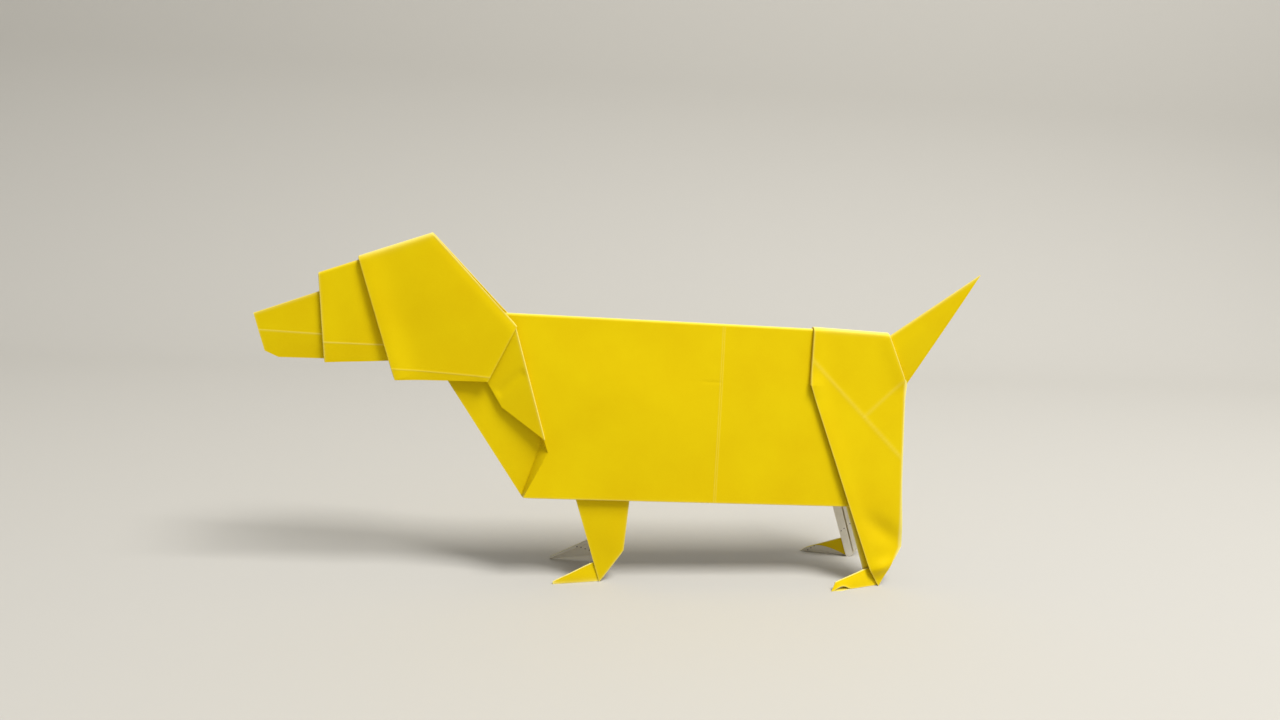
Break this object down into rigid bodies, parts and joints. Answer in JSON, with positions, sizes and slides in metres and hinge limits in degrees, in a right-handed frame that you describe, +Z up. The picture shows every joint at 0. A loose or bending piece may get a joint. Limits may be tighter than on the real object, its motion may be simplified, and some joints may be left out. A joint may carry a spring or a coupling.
{
  "type": "origami dog",
  "caption": "Standing dog folded from one square sheet of yellow paper, with a pleated head, nested muzzle, neck flap, turned-out feet and a raised tail.",
  "frame": {"origin": "on the floor under the middle of the dog's box, between nose and tail and between the two sides", "axes": "+X towards the tail, +Y to the dog's right side, +Z up"},
  "size_m": [0.1804, 0.0278, 0.0856],
  "materials": {
    "yellow_paper": "uncoated yellow paper, white on the reverse"
  },
  "bodies": {
    "root": {"folded_sheet": "yellow_paper"}
  },
  "joints": []
}
